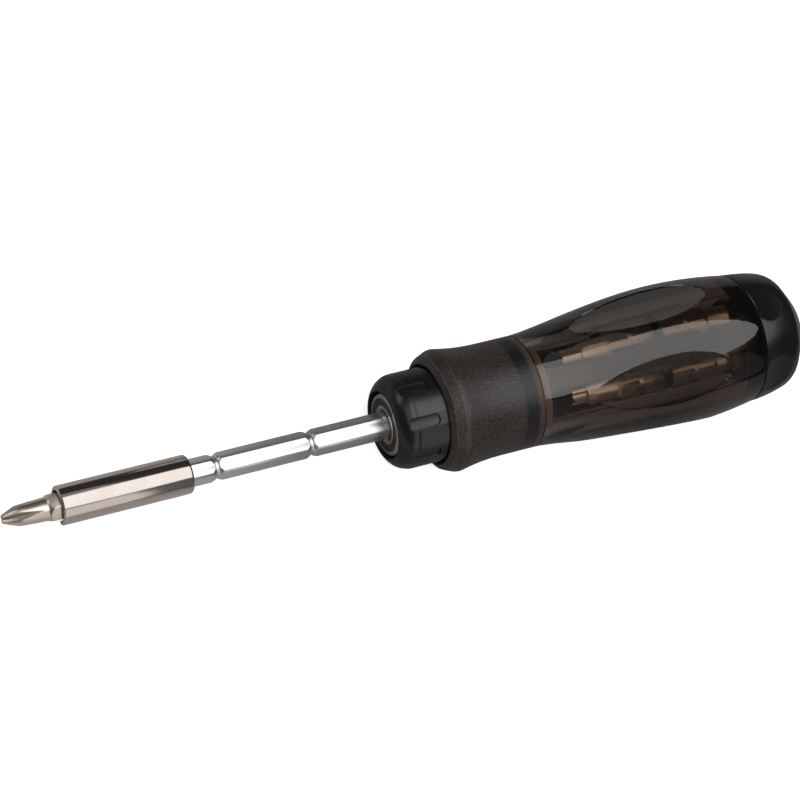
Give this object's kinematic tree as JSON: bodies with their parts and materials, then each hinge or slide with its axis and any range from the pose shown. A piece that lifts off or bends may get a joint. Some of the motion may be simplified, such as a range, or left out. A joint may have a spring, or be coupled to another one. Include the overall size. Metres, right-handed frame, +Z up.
{
  "type": "ratcheting screwdriver",
  "caption": "Ratcheting screwdriver with a telescoping hex shaft, magnetic bit sleeve, selector ring, and a clear fluted handle that stores bits on a pull-out cap.",
  "frame": {"origin": "point of the fitted bit, on the tool's axis", "axes": "+X along the tool's axis from the bit to the cap; +Z up, opposite the flute that the tool rests on; +Y to the left, seen from the bit towards the cap"},
  "size_m": [0.2201, 0.038, 0.0376],
  "materials": {
    "bit_nickel": "warm satin nickel",
    "bit_steel": "warm satin nickel",
    "sleeve_nickel": "turned, satin nickel",
    "magnet": "nickel-plated magnet",
    "spring_steel": "bright spring steel",
    "shaft_chrome": "bright chrome",
    "bearing_steel": "ground",
    "ball_steel": "polished",
    "cage_brass": "pressed",
    "seal_rubber": "matte",
    "selector_plastic": "fine satin texture",
    "tool_steel": "machined",
    "housing_plastic": "moulded",
    "bush_bronze": "sintered",
    "collar_frosted": "frosted smoke tint",
    "barrel_smoke": "polished smoke tint",
    "carrier_plastic": "moulded",
    "cap_plastic": "fine texture"
  },
  "bodies": {
    "handle": {"handle_collar": "collar_frosted", "handle_barrel": "barrel_smoke", "ratchet_housing": "housing_plastic", "housing_cover": "housing_plastic", "bearing_outer_ring": "bearing_steel", "bearing_front_seal": "seal_rubber", "bearing_rear_seal": "seal_rubber", "pawl_pins": "tool_steel", "pawl_spring_a": "spring_steel", "pawl_spring_b": "spring_steel", "spindle_bush": "bush_bronze", "selector_detent_spring": "spring_steel"},
    "selector": {"selector_ring": "selector_plastic", "selector_cam": "tool_steel"},
    "spindle": {"spindle": "tool_steel", "ratchet_gear": "tool_steel", "bearing_inner_ring": "bearing_steel", "spindle_circlip": "spring_steel", "thrust_washer": "spring_steel", "shaft_detent_ring": "spring_steel"},
    "cage": {"bearing_balls": "ball_steel", "bearing_cage": "cage_brass"},
    "pawl_left": {"pawl_a": "tool_steel"},
    "pawl_right": {"pawl_b": "tool_steel"},
    "shaft": {"drive_shaft": "shaft_chrome", "bit_sleeve": "sleeve_nickel", "bit_magnet": "magnet", "bit_clip": "spring_steel", "shaft_stop_ring": "spring_steel"},
    "bit": {"driver_bit": "bit_nickel"},
    "magazine": {"end_cap": "cap_plastic", "bit_carrier": "carrier_plastic", "cap_seal_ring": "seal_rubber", "front_bit_1": "bit_steel", "front_bit_2": "bit_steel", "front_bit_3": "bit_steel", "front_bit_4": "bit_steel", "front_bit_5": "bit_steel", "rear_bit_1": "bit_steel", "rear_bit_2": "bit_steel", "rear_bit_3": "bit_steel", "rear_bit_4": "bit_steel", "rear_bit_5": "bit_steel"}
  },
  "joints": [
    {"name": "selector_turn", "type": "hinge", "parent": "handle", "child": "selector", "pos_m": [0.1111, 0, 0], "axis": [1, 0, 0], "range_deg": [-20, 20], "deforming": ["selector_detent_spring"]},
    {"name": "pawl_a_rock", "type": "hinge", "parent": "handle", "child": "pawl_left", "pos_m": [0.1238, 0.0073, -0.0056], "axis": [1, 0, 0], "range_deg": [-6.1, 6.1], "deforming": ["pawl_spring_a"]},
    {"name": "pawl_b_rock", "type": "hinge", "parent": "handle", "child": "pawl_right", "pos_m": [0.1238, -0.0073, -0.0056], "axis": [1, 0, 0], "range_deg": [-6.1, 6.1], "deforming": ["pawl_spring_b"]},
    {"name": "spindle_spin", "type": "hinge", "parent": "handle", "child": "spindle", "pos_m": [0.1211, 0, 0], "axis": [1, 0, 0], "continuous": true},
    {"name": "cage_spin", "type": "hinge", "parent": "handle", "child": "cage", "pos_m": [0.1036, 0, 0], "axis": [1, 0, 0], "continuous": true},
    {"name": "shaft_slide", "type": "slide", "parent": "spindle", "child": "shaft", "axis": [1, 0, 0], "range_m": [0, 0.0508], "deforming": ["shaft_detent_ring"]},
    {"name": "bit_pull", "type": "slide", "parent": "shaft", "child": "bit", "axis": [-1, 0, 0], "range_m": [0, 0.0125], "deforming": ["bit_clip"]},
    {"name": "magazine_pull", "type": "slide", "parent": "handle", "child": "magazine", "axis": [1, 0, 0], "range_m": [0, 0.062]}
  ],
  "couplings": [
    {"joint": "pawl_a_rock", "follows": "selector_turn", "ratio": 0.3},
    {"joint": "pawl_b_rock", "follows": "selector_turn", "ratio": 0.3}
  ]
}
